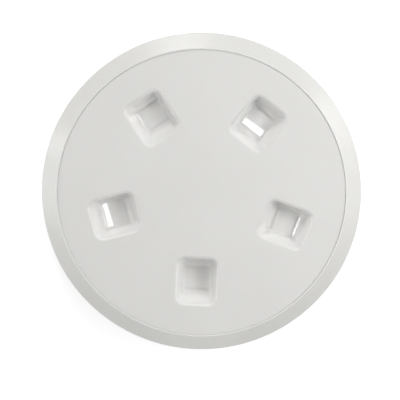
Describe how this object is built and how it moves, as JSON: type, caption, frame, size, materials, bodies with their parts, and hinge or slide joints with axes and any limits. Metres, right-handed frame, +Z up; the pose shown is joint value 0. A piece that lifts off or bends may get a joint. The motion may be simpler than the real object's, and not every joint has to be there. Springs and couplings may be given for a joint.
{
  "type": "deck inspection plate",
  "caption": "Round screw-in deck inspection plate with a bevelled ring, a flush lid with finger pockets, and a coarse thread that pulls the lid down on a flat seal.",
  "frame": {"origin": "on the plate's axis, in the plane of the deck under the flange", "axes": "+Z up out of the deck along the axis of the lid's thread; +Y towards the top of the picture, away from the lowest finger pocket"},
  "size_m": [0.2, 0.2, 0.0274],
  "materials": {
    "white_plastic": "off-white moulded plastic, satin to gloss",
    "white_plastic_lid": "off-white moulded plastic, fine satin face with glossier finger pockets",
    "seal_rubber": "black moulded rubber"
  },
  "bodies": {
    "ring": {"deck_ring": "white_plastic"},
    "seal": {"lid_seal": "seal_rubber"},
    "lid": {"lid": "white_plastic_lid"}
  },
  "joints": [
    {"name": "lid_lift", "type": "slide", "parent": "ring", "child": "seal", "axis": [0, 0, 1], "range_m": [0, 0.024]},
    {"name": "lid_turn", "type": "hinge", "parent": "seal", "child": "lid", "pos_m": [0, 0, 0], "axis": [0, 0, 1], "range_deg": [0, 1440]}
  ],
  "couplings": [
    {"joint": "lid_lift", "follows": "lid_turn", "m_per_rad": 0.00095493}
  ]
}
